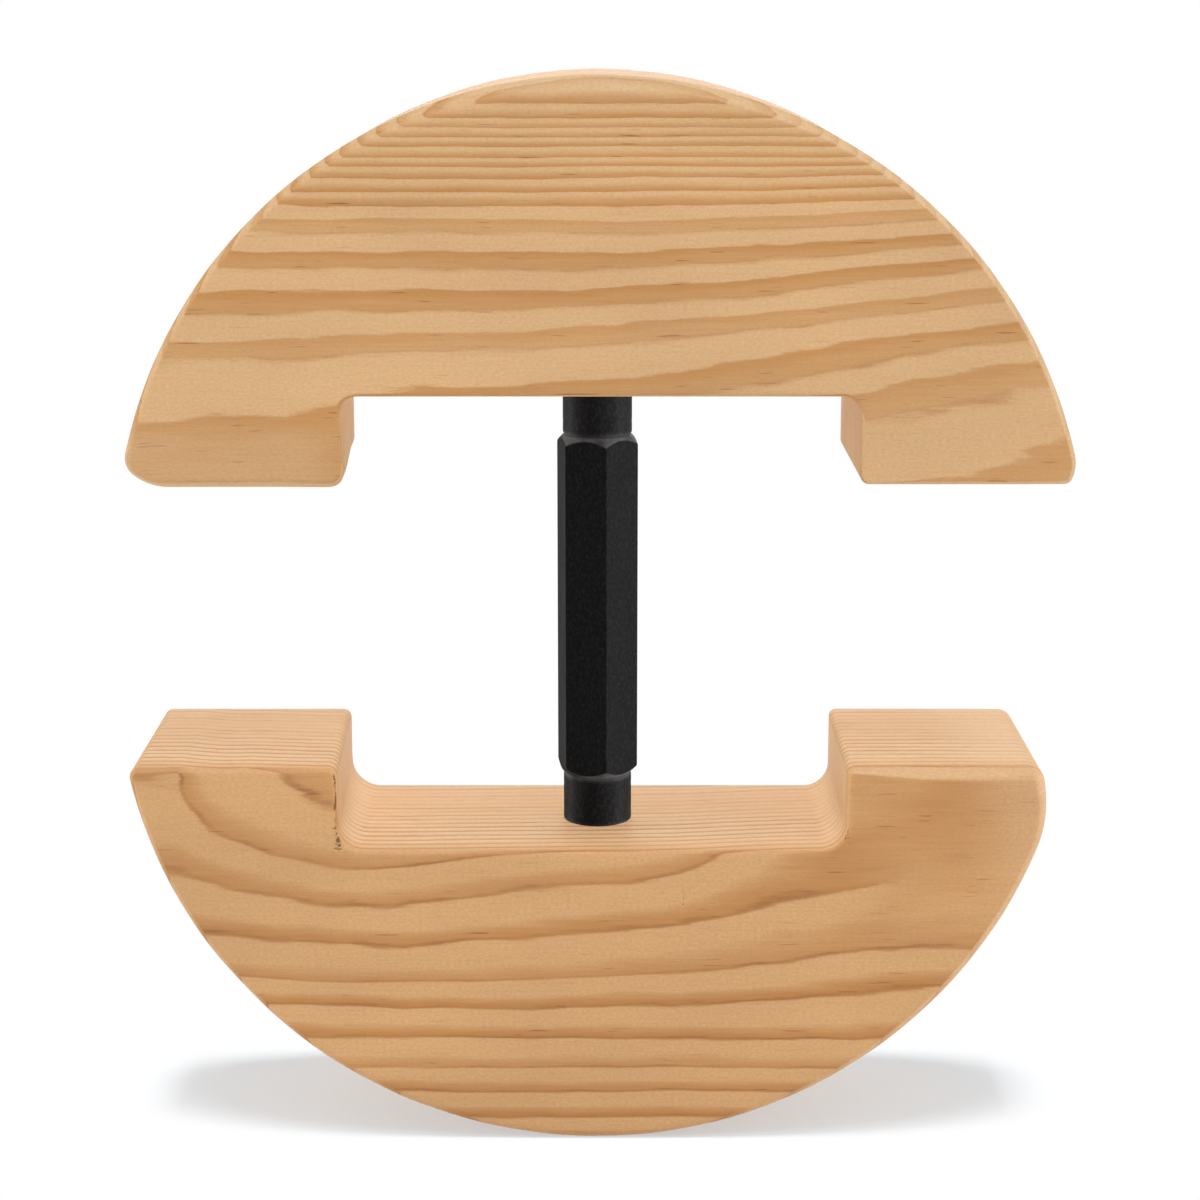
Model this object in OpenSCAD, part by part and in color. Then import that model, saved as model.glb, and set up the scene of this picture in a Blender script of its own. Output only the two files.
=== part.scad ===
// Hat stretcher: two D-shaped wooden blocks that a turnbuckle pushes apart inside a hat's sweatband.
// X runs across the blocks, Y through their thickness with the front at -Y, Z along the turnbuckle.
// The origin is the middle of the turnbuckle. The stretcher is modelled closed.

/* [Blocks] */
// Width of a block across its straight side, before its corners are rounded
block_w = 160; // [140:1:190]
// Height of a block from its feet to the top of its rim
block_h = 67; // [58:0.5:76]
// Thickness of the wood
block_t = 40; // [26:0.5:50]
// Rounding of the edges around the front and back faces
edge_r = 2.5; // [1:0.1:2.8]
// Rounding of a foot's corner beside the rim
foot_rim_r = 4.5; // [3.5:0.1:9]
// Rounding of a foot's corner beside the notch
foot_notch_r = 3; // [2.9:0.1:6]

/* [Notch] */
// Width of the notch between the feet
notch_w = 87; // [70:0.5:100]
// Depth of the notch from the feet to the crossbar
notch_d = 15; // [11:0.5:22]
// Rounding in the notch's inner corners
notch_r = 4.5; // [2:0.1:7]

/* [Turnbuckle] */
// Outer diameter of the studs' thread
stud_d = 8; // [6:0.1:10]
// Distance between the studs' ends in the middle of the closed sleeve
stud_end_space = 3; // [1:0.1:8]
// Chamfer on the studs' ends
stud_chamfer = 1; // [0.4:0.1:1.5]
// Length of the hexagonal sleeve
sleeve_len = 60; // [46:0.5:80]
// Wall of the sleeve between its bore and a flat
sleeve_wall = 2.3; // [1.6:0.1:4]
// Width of the chamfer at the middle of a flat
sleeve_chamfer = 0.45; // [0.2:0.05:0.9]
// Slope of the turned chamfer from the sleeve's end face
sleeve_chamfer_angle = 45; // [25:1:60]
// Turn of the sleeve's corners from the X axis at rest
sleeve_rest_turn = -18; // [-30:1:30]
// Length of a collar
collar_len = 9; // [6:0.1:16]
// Wall of a collar
collar_wall = 1.9; // [1.2:0.05:3]
// Rounding of a collar's outer edges
collar_edge_r = 0.6; // [0.2:0.1:1]

/* [Inserts] */
// Length of a threaded insert
insert_len = 20; // [12:0.5:30]
// Wall of an insert
insert_wall = 1.5; // [1:0.1:2.5]
// Width of the slot that an insert is driven in by
insert_slot_w = 1.6; // [1:0.1:2.4]
// Depth of that slot
insert_slot_d = 2.4; // [1:0.1:4]
// Chamfer that leads an insert into the wood
insert_chamfer = 0.8; // [0.3:0.1:0.9]
// Depth of the wood's hole past the end of the insert
hole_spare = 2; // [0.5:0.1:5]

/* [Clearances] */
// Radial gap around a stud in the sleeve and in the collars
running_gap = 0.05; // [0.02:0.01:0.1]
// Radial gap of the stud in its insert and of the insert in the wood
glue_gap = 0.03; // [0.01:0.01:0.1]
// Gap between end faces that rest on one another
face_gap = 0.05; // [0.02:0.01:0.2]

/* [Hidden] */

// Smoothness of the round surfaces
$fn = 96;
// Overlap of a cutting shape past the surface that it cuts
cut = 1;
// Depth of the border past its rounding
lap = 6;
// Distance between the core's edge and the border's rounding
core_lap = 1;
// Overlap of the two sweeps round a corner
overlap_angle = 5;

// The rim is the circle through both ends of the straight side and the top of the block
half_w = block_w / 2;
rim_r = (half_w * half_w + block_h * block_h) / (2 * block_h);
rim_y = block_h - rim_r;

// Centre of the rounding between foot and rim, which touches the rim's circle and the foot's underside
rim_corner_x = sqrt(pow(rim_r - foot_rim_r, 2) - pow(foot_rim_r - rim_y, 2));
rim_start = atan2(foot_rim_r - rim_y, rim_corner_x);
half_notch = notch_w / 2;

// Heights of the turnbuckle's pieces above the middle of the closed stretcher
sleeve_top = sleeve_len / 2;
collar_foot = sleeve_top + face_gap;
bar_z = collar_foot + collar_len + face_gap;
foot_z = bar_z - notch_d;
stud_tip = stud_end_space / 2;
stud_root = bar_z + insert_len;

// Round sizes of the turnbuckle's pieces
stud_r = stud_d / 2;
bore_r = stud_r + running_gap;
sleeve_flat = bore_r + sleeve_wall;
sleeve_corner = sleeve_flat / cos(30);
sleeve_end_r = sleeve_flat - sleeve_chamfer;
collar_r = bore_r + collar_wall;
thread_r = stud_r + glue_gap;
insert_r = thread_r + insert_wall;
hole_r = insert_r + glue_gap;

upper_wood = [0.86, 0.70, 0.48];
lower_wood = [0.83, 0.63, 0.40];
black_steel = [0.09, 0.09, 0.09];
zinc_steel = [0.62, 0.63, 0.64];
brass = [0.72, 0.57, 0.29];

function heading(angle) = [cos(angle), sin(angle)];

// Area between two headings from the origin, reaching well past a circle of radius r
module wedge(r, from, to) {
    middle = (from + to) / 2;
    polygon([[0, 0], 3 * r * heading(from), 4 * r * heading(middle), 3 * r * heading(to)]);
}

// Slice of a disc between two headings
module slice(r, from, to) {
    intersection() {
        circle(r);
        wedge(r, from, to);
    }
}

// Shape and its mirror image across the YZ plane
module both_sides() {
    children();
    mirror([1, 0, 0]) children();
}

// Section of the border that runs round a block, from x = inner out to x = outer, with its outer corners
// rounded where it meets the two faces
module border_section(inner, outer) {
    flat_t = block_t - 2 * edge_r;
    round_x = outer - edge_r;
    translate([inner, -block_t / 2]) square([round_x - inner, block_t]);
    translate([round_x, -flat_t / 2]) square([edge_r, flat_t]);
    translate([round_x, flat_t / 2]) slice(edge_r, 0, 90);
    translate([round_x, -flat_t / 2]) slice(edge_r, -90, 0);
}

// The same section with its outside at x = 0 and the wood on +X
module facing_section() {
    mirror([1, 0]) border_section(-edge_r - lap, 0);
}

// Straight border along +X with the wood on its left: the children start from its end
module straight(length) {
    rotate([90, 0, 90]) linear_extrude(length) facing_section();
    translate([length, 0]) children();
}

// Border swept round the origin from -Y, with the wood inside
module sweep_round(r, angle) {
    rotate([0, 0, -90])
        rotate_extrude(angle = angle) border_section(max(r - edge_r - lap, 0), r);
}

// Border that turns left round an outer corner of radius r, swept from both ends so that each end is true
module turn_left(r, angle) {
    part = angle / 2 + overlap_angle;
    translate([0, r]) {
        sweep_round(r, part);
        rotate([0, 0, angle]) {
            mirror([1, 0, 0]) sweep_round(r, part);
            translate([0, -r]) children();
        }
    }
}

// Border that turns right by a quarter round an inner corner of radius r
module turn_right(r) {
    translate([0, -r])
        rotate_extrude(angle = 90) translate([r, 0]) facing_section();
    translate([r, -r]) rotate([0, 0, -90]) children();
}

// Border from the middle of the crossbar to the right, down the notch, round the foot and up the rim
module half_border() {
    translate([0, notch_d])
        straight(half_notch - notch_r)
            turn_right(notch_r)
                straight(notch_d - notch_r - foot_notch_r)
                    turn_left(foot_notch_r, 90)
                        straight(rim_corner_x - half_notch - foot_notch_r)
                            turn_left(foot_rim_r, 90 + rim_start)
                                turn_left(rim_r, 90);
}

// Wood inside the border, which buries the core's own edge
module core() {
    inset = edge_r + core_lap;
    linear_extrude(block_t, center = true)
        difference() {
            intersection() {
                translate([0, rim_y]) circle(rim_r - inset);
                translate([-block_w, inset]) square([2 * block_w, block_h]);
            }
            translate([-half_notch - inset, 0]) square([notch_w + 2 * inset, notch_d + inset]);
        }
}

// A block lying on its back, with its feet on y = 0 and its thickness shared either side of z = 0
module lying_block() {
    both_sides()
        intersection() {
            union() {
                half_border();
                core();
            }
            translate([0, -cut, -block_t]) cube([block_w, block_h + 2 * cut, 2 * block_t]);
        }
}

// The upper block in its place, with a blind hole for its insert in the crossbar
module block() {
    difference() {
        translate([0, 0, foot_z]) rotate([90, 0, 0]) lying_block();
        translate([0, 0, bar_z - cut]) cylinder(r = hole_r, h = insert_len + hole_spare + cut);
    }
}

// The upper collar in its place: a ring with rounded outer edges
module collar() {
    inner = collar_r - collar_edge_r;
    translate([0, 0, collar_foot])
        rotate_extrude() {
            translate([bore_r, 0]) square([inner - bore_r, collar_len]);
            translate([inner, collar_edge_r]) square([collar_edge_r, collar_len - 2 * collar_edge_r]);
            translate([inner, collar_len - collar_edge_r]) slice(collar_edge_r, 0, 90);
            translate([inner, collar_edge_r]) slice(collar_edge_r, -90, 0);
        }
}

// The upper stud in its place, chamfered at both ends
module stud() {
    end_r = stud_r - stud_chamfer;
    rotate_extrude()
        polygon([[0, stud_tip], [end_r, stud_tip], [stud_r, stud_tip + stud_chamfer],
                 [stud_r, stud_root - stud_chamfer], [end_r, stud_root], [0, stud_root]]);
}

// The upper insert in its place: a threaded barrel with a driving slot at the crossbar's face
module insert() {
    nose_r = insert_r - insert_chamfer;
    difference() {
        translate([0, 0, bar_z])
            rotate_extrude()
                polygon([[thread_r, 0], [insert_r, 0], [insert_r, insert_len - insert_chamfer],
                         [nose_r, insert_len], [thread_r, insert_len]]);
        translate([-insert_r - cut, -insert_slot_w / 2, bar_z - cut])
            cube([2 * (insert_r + cut), insert_slot_w, insert_slot_d + cut]);
    }
}

module upper_block() { color(upper_wood) block(); }

module lower_block() { color(lower_wood) mirror([0, 0, 1]) block(); }

module upper_collar() { color(black_steel) collar(); }

module lower_collar() { color(black_steel) mirror([0, 0, 1]) collar(); }

module upper_stud() { color(zinc_steel) stud(); }

module lower_stud() { color(zinc_steel) mirror([0, 0, 1]) stud(); }

module upper_insert() { color(brass) insert(); }

module lower_insert() { color(brass) mirror([0, 0, 1]) insert(); }

// Hexagonal bar whose ends are turned to a chamfer, bored through for both studs
module hex_sleeve() {
    turned_r = sleeve_corner + cut;
    turned_z = sleeve_top - (turned_r - sleeve_end_r) * tan(sleeve_chamfer_angle);
    color(black_steel)
        difference() {
            intersection() {
                rotate([0, 0, sleeve_rest_turn])
                    cylinder(r = sleeve_corner, h = sleeve_len, center = true, $fn = 6);
                rotate_extrude()
                    polygon([[0, -sleeve_top], [sleeve_end_r, -sleeve_top], [turned_r, -turned_z],
                             [turned_r, turned_z], [sleeve_end_r, sleeve_top], [0, sleeve_top]]);
            }
            cylinder(r = bore_r, h = sleeve_len + 2 * cut, center = true);
        }
}

upper_block();
lower_block();
hex_sleeve();
upper_collar();
lower_collar();
upper_stud();
lower_stud();
upper_insert();
lower_insert();
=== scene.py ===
# %% [markdown]
# # A hat stretcher
# Two D-shaped pine blocks sit on a turnbuckle. A black hexagonal sleeve between them has a right-hand
# thread at its lower end and a left-hand thread at its upper end, so turning it pushes the blocks apart
# and widens the hat that is pulled over them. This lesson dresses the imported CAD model: it loads the
# bodies as a fixed frame and lays finer surfaces and finishes over them, in the same place and at the
# same size.

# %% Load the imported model
import math

import bmesh
import bpy
import numpy as np
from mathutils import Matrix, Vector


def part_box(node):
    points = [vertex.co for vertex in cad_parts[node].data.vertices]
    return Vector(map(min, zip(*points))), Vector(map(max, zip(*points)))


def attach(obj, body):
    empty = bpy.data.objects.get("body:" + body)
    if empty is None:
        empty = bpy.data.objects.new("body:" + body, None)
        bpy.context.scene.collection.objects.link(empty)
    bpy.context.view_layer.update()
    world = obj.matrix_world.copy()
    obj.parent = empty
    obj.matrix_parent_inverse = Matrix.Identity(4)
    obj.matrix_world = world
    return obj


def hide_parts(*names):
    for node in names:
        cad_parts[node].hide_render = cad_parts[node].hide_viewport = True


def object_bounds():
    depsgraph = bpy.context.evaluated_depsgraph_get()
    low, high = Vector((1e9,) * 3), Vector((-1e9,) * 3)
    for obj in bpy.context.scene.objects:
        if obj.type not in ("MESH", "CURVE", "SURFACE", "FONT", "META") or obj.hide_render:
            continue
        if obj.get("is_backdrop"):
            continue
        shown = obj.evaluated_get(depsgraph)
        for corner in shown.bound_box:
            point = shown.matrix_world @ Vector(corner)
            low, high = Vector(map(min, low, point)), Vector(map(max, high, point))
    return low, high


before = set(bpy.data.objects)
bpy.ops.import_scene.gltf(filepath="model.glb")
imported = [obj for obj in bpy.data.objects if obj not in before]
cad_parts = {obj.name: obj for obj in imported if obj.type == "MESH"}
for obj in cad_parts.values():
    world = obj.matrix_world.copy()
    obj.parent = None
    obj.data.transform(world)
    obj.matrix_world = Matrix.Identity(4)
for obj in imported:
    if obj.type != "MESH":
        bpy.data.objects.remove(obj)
cad_low, cad_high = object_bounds()
MM = 0.001

# %% [markdown]
# ## Camera
# The photograph was taken from a little above the blocks, straight in front of them. A camera can be
# placed by eye, but here its distance, height and tilt come from a fit of the block outlines to the
# picture, so that every piece lands on its own pixel. The lens follows from the focal length in pixels
# and the width of the picture.

# %% Place the camera
PICTURE_PIXELS = 1200
FOCAL_PIXELS = 2660.7
SENSOR_WIDTH = 36.0
CAMERA_PLACE = (0.00045, -0.4521, 0.1034)
CAMERA_TILT = 0.2234
NEAR_LIMIT = 0.01

camera_data = bpy.data.cameras.new("camera")
camera_data.sensor_width = SENSOR_WIDTH
camera_data.lens = FOCAL_PIXELS * SENSOR_WIDTH / PICTURE_PIXELS
camera_data.clip_start = NEAR_LIMIT
camera = bpy.data.objects.new("camera", camera_data)
camera.location = CAMERA_PLACE
camera.rotation_euler = (math.pi / 2 - CAMERA_TILT, 0, 0)
bpy.context.scene.collection.objects.link(camera)
bpy.context.scene.camera = camera
bpy.context.scene.view_settings.view_transform = "Standard"
print("camera with a lens of", round(camera_data.lens, 2), "mm")

# %% [markdown]
# ## Small helpers for materials
# A material in Blender is a graph of nodes. Adding nodes one by one takes many lines, so one helper makes
# a node, sets its plain values and links its sockets. A value that is itself a socket becomes a link.

# %% Node helpers
WHITE = (1, 1, 1, 1)


def node(tree, kind, inputs=(), **settings):
    """A new node of this kind: settings are its own properties, inputs are (socket, value or link) pairs."""
    made = tree.nodes.new(kind)
    for name, value in settings.items():
        setattr(made, name, value)
    for socket, value in dict(inputs).items():
        if isinstance(value, bpy.types.NodeSocket):
            tree.links.new(value, made.inputs[socket])
        else:
            made.inputs[socket].default_value = value
    return made


def math_node(tree, operation, first, second=0.0, third=0.0, clamp=False):
    """The number that an operation makes of up to three numbers or links."""
    values = {0: first, 1: second, 2: third}
    return node(tree, "ShaderNodeMath", values, operation=operation, use_clamp=clamp).outputs[0]


def swing(tree, noise, amount, base):
    """The base plus the amount times how far the noise lies from its middle, 0.5."""
    from_middle = math_node(tree, "SUBTRACT", noise, 0.5)
    return math_node(tree, "MULTIPLY_ADD", from_middle, amount, base)


def mix_colour(tree, share, first, second, blend="MIX"):
    """The blend of two colours, share 0 being the first and 1 the second."""
    inputs = {0: share, 6: first, 7: second}
    made = node(tree, "ShaderNodeMix", inputs, data_type="RGBA", blend_type=blend, clamp_factor=True)
    return made.outputs[2]


def ramp(tree, value, stops):
    """A curve through (position, height) stops, read at value: a colour ramp in greys."""
    made = node(tree, "ShaderNodeValToRGB", {0: value})
    elements = made.color_ramp.elements
    while len(elements) < len(stops):
        elements.new(0.5)
    for element, (position, height) in zip(elements, stops):
        element.position = position
        element.color = (height, height, height, 1)
    return made.outputs["Color"]


def stretched_noise(tree, place, cells, detail=3.0, roughness=0.55):
    """Noise from 0 to 1 with this many cells per metre along each axis."""
    mapped = node(tree, "ShaderNodeMapping", {"Vector": place, "Scale": cells})
    inputs = {"Vector": mapped.outputs[0], "Scale": 1.0, "Detail": detail, "Roughness": roughness}
    return node(tree, "ShaderNodeTexNoise", inputs).outputs["Fac"]


def attribute(tree, name):
    """The piece's own attribute of this name, as a number."""
    return node(tree, "ShaderNodeAttribute", attribute_name=name).outputs["Fac"]


def seen_rays(tree):
    """1 for rays that show a surface, also in a mirror or through glass, and 0 for rays that carry light."""
    path = node(tree, "ShaderNodeLightPath").outputs
    seen = math_node(tree, "MAXIMUM", path["Is Camera Ray"], path["Is Glossy Ray"])
    return math_node(tree, "MAXIMUM", seen, path["Is Transmission Ray"])


def new_material(name):
    """An empty material with its tree, its shader and its Object coordinates."""
    material = bpy.data.materials.new(name)
    material.use_nodes = True
    tree = material.node_tree
    tree.nodes.clear()
    shader = node(tree, "ShaderNodeBsdfPrincipled")
    node(tree, "ShaderNodeOutputMaterial", {"Surface": shader.outputs[0]})
    place = node(tree, "ShaderNodeTexCoord").outputs["Object"]
    return material, tree, shader, place


print("node helpers ready")

# %% [markdown]
# ## Floor and light
# The stretcher stands on its lower rim on white paper. A lamp overhead shines on the paper alone, so that
# the object's soft shadow falls on it without bleaching the rim above.
# Outside an oval under the object the camera sees the paper as plain white, so no horizon appears, while
# inside it the paper is an ordinary lit surface that keeps the shadow. The wood throws warm light into
# that shadow, and the picture's shadow is a neutral grey, so the camera sees a paper that is a little
# bluer there. Four more lamps fill the faces from the front, the back and both sides, and cast no shadow
# of their own.

# %% Lay the floor
FLOOR_HALF = 6.0
SHADOW_NEAR = 0.069
SHADOW_FAR = 0.095
SHADOW_BACK = 0.004
SHADOW_FLATNESS = 3.15
PAPER_COLOUR = (0.56, 0.56, 0.56, 1)
SEEN_PAPER_COLOUR = (0.615, 0.658, 0.70, 1)

floor_z = cad_low.z
floor_corners = [(-FLOOR_HALF, -FLOOR_HALF, floor_z), (FLOOR_HALF, -FLOOR_HALF, floor_z),
                 (FLOOR_HALF, FLOOR_HALF, floor_z), (-FLOOR_HALF, FLOOR_HALF, floor_z)]
floor_mesh = bpy.data.meshes.new("floor")
floor_mesh.from_pydata(floor_corners, [], [(0, 1, 2, 3)])
floor = bpy.data.objects.new("floor", floor_mesh)
bpy.context.scene.collection.objects.link(floor)
floor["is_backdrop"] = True

paper = bpy.data.materials.new("white_paper")
paper.use_nodes = True
tree = paper.node_tree
tree.nodes.clear()
place = node(tree, "ShaderNodeTexCoord").outputs["Object"]
flat_place = node(tree, "ShaderNodeMapping", {"Vector": place, "Scale": (1, SHADOW_FLATNESS, 0),
                                              "Location": (0, -SHADOW_FLATNESS * SHADOW_BACK, 0)})
distance = node(tree, "ShaderNodeVectorMath", {0: flat_place.outputs[0]}, operation="LENGTH")
far_share = node(tree, "ShaderNodeMapRange", {"Value": distance.outputs["Value"], "From Min": SHADOW_NEAR,
                                              "From Max": SHADOW_FAR}, interpolation_type="SMOOTHSTEP")
seen = seen_rays(tree)
paper_tone = mix_colour(tree, seen, PAPER_COLOUR, SEEN_PAPER_COLOUR)
lit = node(tree, "ShaderNodeBsdfDiffuse", {"Color": paper_tone})
glow = node(tree, "ShaderNodeEmission", {"Color": WHITE, "Strength": 1.0})
far_seen = math_node(tree, "MULTIPLY", far_share.outputs[0], seen)
sheet_mix = node(tree, "ShaderNodeMixShader", {0: far_seen, 1: lit.outputs[0], 2: glow.outputs[0]})
node(tree, "ShaderNodeOutputMaterial", {"Surface": sheet_mix.outputs[0]})
floor_mesh.materials.append(paper)
print("floor at", round(floor_z, 4), "m")

# %% Light the stage
WORLD_LIGHT = 0.36

world = bpy.data.worlds.new("studio")
world.use_nodes = True
bpy.context.scene.world = world
tree = world.node_tree
tree.nodes.clear()
strength = math_node(tree, "MULTIPLY_ADD", seen_rays(tree), 1.0 - WORLD_LIGHT, WORLD_LIGHT)
white = node(tree, "ShaderNodeBackground", {"Color": WHITE, "Strength": strength})
node(tree, "ShaderNodeOutputWorld", {"Surface": white.outputs[0]})


def soft_lamp(name, place, width, height, watts, aim=(0.0, 0.0, 0.0), shadow=False):
    """A rectangular area lamp at a place, turned so that it faces the point it aims at."""
    data = bpy.data.lights.new(name, "AREA")
    data.shape = "RECTANGLE"
    data.size = width
    data.size_y = height
    data.energy = watts
    data.use_shadow = shadow
    lamp = bpy.data.objects.new(name, data)
    bpy.context.scene.collection.objects.link(lamp)
    away = np.subtract(place, aim)
    flat = math.hypot(away[0], away[1])
    lamp.location = place
    lamp.rotation_euler = (math.atan2(flat, away[2]), 0, math.atan2(away[0], -away[1]))
    return lamp


def lights_only(lamp, *objects):
    """Light linking: the lamp reaches only these objects, and any shadow it casts may come from all."""
    reached = bpy.data.collections.new(lamp.name + "_reaches")
    for reached_object in objects:
        reached.objects.link(reached_object)
    lamp.light_linking.receiver_collection = reached


paper_lamp = soft_lamp("paper_lamp", (0.0, 0.0, 1.70), width=0.40, height=0.80, watts=32.0, shadow=True)
lights_only(paper_lamp, floor)
fills = [soft_lamp("front_fill", (0.0, -1.20, 1.90), width=1.6, height=1.0, watts=31.8),
         soft_lamp("back_fill", (0.0, 0.95, 0.50), width=0.8, height=0.5, watts=4.0),
         soft_lamp("left_fill", (-1.0, 0.05, 0.25), width=0.4, height=0.6, watts=2.2),
         soft_lamp("right_fill", (1.0, 0.05, 0.25), width=0.4, height=0.6, watts=2.0)]
print("one lamp that casts the shadow and", len(fills), "that fill it")

# %% [markdown]
# ## Turning arrays into meshes
# Every new piece below is a grid of points worked out with numpy. Two helpers turn such a grid into quads
# and put the finished arrays into Blender. Pieces that are made of several grids share their seams: points
# that lie on each other are merged, so the shell is closed.

# %% Mesh helpers
MERGE_DISTANCE = 1e-6


def grid_quads(rows, columns, close_rows=False, close_columns=False, first=0):
    """Quads between neighbouring points of a rows x columns grid, wrapping round where a side is closed."""
    row = np.arange(rows if close_rows else rows - 1)[:, None]
    column = np.arange(columns if close_columns else columns - 1)[None, :]
    next_row = (row + 1) % rows
    next_column = (column + 1) % columns
    corners = [row * columns + column, row * columns + next_column,
               next_row * columns + next_column, next_row * columns + column]
    return first + np.stack(np.broadcast_arrays(*corners), axis=-1).reshape(-1, 4)


def make_piece(name, points, quads, material, body, stands_for, attributes=()):
    """A closed mesh from points in millimetres and quads, merged at its seams, riding on a body."""
    mesh = bpy.data.meshes.new(name)
    mesh.from_pydata((points * MM).tolist(), [], quads.tolist())
    for layer_name, values in dict(attributes).items():
        layer = mesh.attributes.new(layer_name, "FLOAT", "POINT")
        layer.data.foreach_set("value", np.asarray(values, dtype=np.float32))
    shell = bmesh.new()
    shell.from_mesh(mesh)
    bmesh.ops.remove_doubles(shell, verts=shell.verts, dist=MERGE_DISTANCE)
    bmesh.ops.recalc_face_normals(shell, faces=shell.faces)
    open_edges = sum(1 for edge in shell.edges if len(edge.link_faces) != 2)
    shell.to_mesh(mesh)
    shell.free()
    mesh.shade_smooth()
    mesh.materials.append(material)
    piece = bpy.data.objects.new(name, mesh)
    bpy.context.scene.collection.objects.link(piece)
    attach(piece, body)
    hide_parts(stands_for)
    print(name, len(mesh.polygons), "faces,", open_edges, "open edges")
    return piece


print("mesh helpers ready")

# %% [markdown]
# ## Outline of a block
# A block is sawn from a plank 40 mm thick. Its rim is an arc, and a wide notch in its flat side leaves two
# feet and a crossbar. The outline is a chain of straight lines and arcs, each with the direction that
# points out of the wood. The real blocks were shaped by hand and their halves aren't quite alike, so each
# half has its own width, corners and notch. Sizes are in millimetres and angles in degrees.

# %% Sizes of the blocks
FOOT_Z = 24.1
BLOCK_HEIGHT = 67.0
BLOCK_THICKNESS = 40.0
# The foot's chain and the notch's chain meet at this angle of the foot's inner corner.
FOOT_SPLIT = -135.0
CURVE_STEPS = 400


def arc(centre, radius, start, stop, outwards=1.0):
    """Points at a radius from a centre as the angle goes from start to stop, and their outward directions."""
    angle = np.radians(np.linspace(start, stop, CURVE_STEPS))
    direction = np.stack([np.cos(angle), np.sin(angle)], axis=1)
    return np.hstack([np.asarray(centre) + radius * direction, outwards * direction])


def line(start, stop, outwards):
    """Points from start to stop, all with the same direction outwards."""
    share = np.linspace(0, 1, CURVE_STEPS)[:, None]
    points = np.asarray(start) + share * np.subtract(stop, start)
    return np.hstack([points, np.broadcast_to(outwards, points.shape)])


def other_side(curve):
    """A curve's mirror image in x, followed from its other end."""
    return curve[::-1] * np.array([-1.0, 1.0, -1.0, 1.0])


def even_steps(curve, count):
    """A curve's points at equal steps of its length, with unit directions."""
    step = np.hypot(*np.diff(curve[:, :2], axis=0).T)
    length = np.concatenate([[0.0], np.cumsum(step)])
    wanted = np.linspace(0, length[-1], count)
    spaced = np.stack([np.interp(wanted, length, column) for column in curve.T], axis=1)
    spaced[:, 2:] /= np.linalg.norm(spaced[:, 2:], axis=1, keepdims=True)
    return spaced


def half_outline(half_width, foot_lift, upper_round, lower_round, split, foot_round, notch_half,
                 notch_depth, notch_round):
    """The right half's rim, foot and notch, as three chains of (x, height, outward x, outward height).
    The rim's arc turns into the foot through two arcs, which meet at the split angle."""
    radius = (half_width**2 + BLOCK_HEIGHT**2) / (2 * BLOCK_HEIGHT)
    low = BLOCK_HEIGHT - radius
    slope = math.radians(split)
    lower_height = foot_lift + lower_round
    upper_height = lower_height + (lower_round - upper_round) * math.sin(slope)
    upper_x = math.sqrt((radius - upper_round) ** 2 - (upper_height - low) ** 2)
    lower_x = upper_x - (lower_round - upper_round) * math.cos(slope)
    meeting = math.degrees(math.atan2(upper_height - low, upper_x))
    foot_corner = (notch_half + foot_round, foot_lift + foot_round)
    inner_corner = (notch_half - notch_round, notch_depth - notch_round)
    rim = np.vstack([arc((0, low), radius, 90, meeting),
                     arc((upper_x, upper_height), upper_round, meeting, split)])
    foot = np.vstack([arc((lower_x, lower_height), lower_round, split, -90),
                      line((lower_x, foot_lift), (foot_corner[0], foot_lift), (0, -1)),
                      arc(foot_corner, foot_round, -90, FOOT_SPLIT)])
    notch = np.vstack([line((0, notch_depth), (inner_corner[0], notch_depth), (0, -1)),
                       arc(inner_corner, notch_round, 90, 0, outwards=-1),
                       line((notch_half, inner_corner[1]), (notch_half, foot_corner[1]), (-1, 0)),
                       arc(foot_corner, foot_round, -180, FOOT_SPLIT)])
    return rim, foot, notch


UPPER_LEFT = dict(half_width=79.0, foot_lift=0.0, upper_round=3.4, lower_round=9.0, split=-50,
                  foot_round=2.4, notch_half=43.5, notch_depth=15.2, notch_round=4.0)
UPPER_RIGHT = dict(half_width=79.9, foot_lift=0.6, upper_round=6.0, lower_round=1.2, split=-26,
                   foot_round=1.3, notch_half=43.5, notch_depth=15.2, notch_round=3.5)
LOWER_LEFT = dict(half_width=79.6, foot_lift=0.0, upper_round=1.8, lower_round=1.2, split=-45,
                  foot_round=1.5, notch_half=44.2, notch_depth=14.6, notch_round=4.5)
LOWER_RIGHT = dict(half_width=78.8, foot_lift=0.0, upper_round=22.0, lower_round=2.8, split=-12,
                   foot_round=1.2, notch_half=42.4, notch_depth=14.6, notch_round=4.5)
halves = (UPPER_LEFT, UPPER_RIGHT, LOWER_LEFT, LOWER_RIGHT)
print("widths of the halves", [half["half_width"] for half in halves])

# %% [markdown]
# ## Surface of a block
# One grid spans the front between the rim and the notch, a second one the back, and a strip joins them
# round the outline. The front grid is a Coons patch: a blend of its four border curves. The strip's profile
# is a broken edge, a flat and another broken edge. A broken edge lies between a straight chamfer and a
# quarter circle, and its width differs along the outline, because it was rasped and sanded by hand.

# %% Curves and blends


def smooth_rise(value, start, stop):
    """0 before start, 1 after stop, and a smooth S between them. It falls where start is above stop."""
    share = np.clip((value - start) / (stop - start), 0, 1)
    return share * share * (3 - 2 * share)


def plateau(value, start, full, last, stop):
    """A rise from 0 to 1 between start and full, and a fall back to 0 between last and stop."""
    return smooth_rise(value, start, full) * (1 - smooth_rise(value, last, stop))


def hump(value, middle, width):
    """A bell of height 1 round a middle."""
    return np.exp(-(((value - middle) / width) ** 2))


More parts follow.
